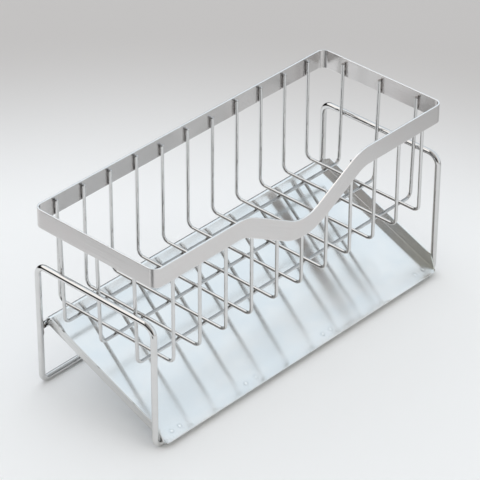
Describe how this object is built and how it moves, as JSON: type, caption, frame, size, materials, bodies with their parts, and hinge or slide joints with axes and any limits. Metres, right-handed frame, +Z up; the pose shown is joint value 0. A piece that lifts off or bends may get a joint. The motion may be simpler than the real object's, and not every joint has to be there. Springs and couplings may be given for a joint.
{
  "type": "dish tool rack",
  "caption": "Free-standing wire basket with a dipped rim band on a bent rod frame, over a sloping drip tray; holds dish brushes and sponges by the sink.",
  "frame": {"origin": "on the surface it stands on, under the middle of the object's box", "axes": "+X along the rack's length, -Y towards the dipped front of the rim and the tray's low edge, +Z up"},
  "size_m": [0.2924, 0.1176, 0.1424],
  "materials": {
    "rim_band": "satin stainless strip with bright cut edges",
    "basket_wires": "polished stainless wire, darkened beside its welds",
    "frame_rods": "polished stainless rod",
    "drip_tray": "bright smooth stainless sheet"
  },
  "bodies": {
    "root": {"rim_band": "rim_band", "cross_wire_01": "basket_wires", "cross_wire_02": "basket_wires", "cross_wire_03": "basket_wires", "cross_wire_04": "basket_wires", "cross_wire_05": "basket_wires", "cross_wire_06": "basket_wires", "cross_wire_07": "basket_wires", "cross_wire_08": "basket_wires", "cross_wire_09": "basket_wires", "cross_wire_10": "basket_wires", "cross_wire_11": "basket_wires", "length_wire_back": "basket_wires", "length_wire_middle": "basket_wires", "length_wire_front": "basket_wires", "frame_half_left": "frame_rods", "frame_half_right": "frame_rods", "tray_support_rod": "frame_rods", "drip_tray": "drip_tray"}
  },
  "joints": []
}
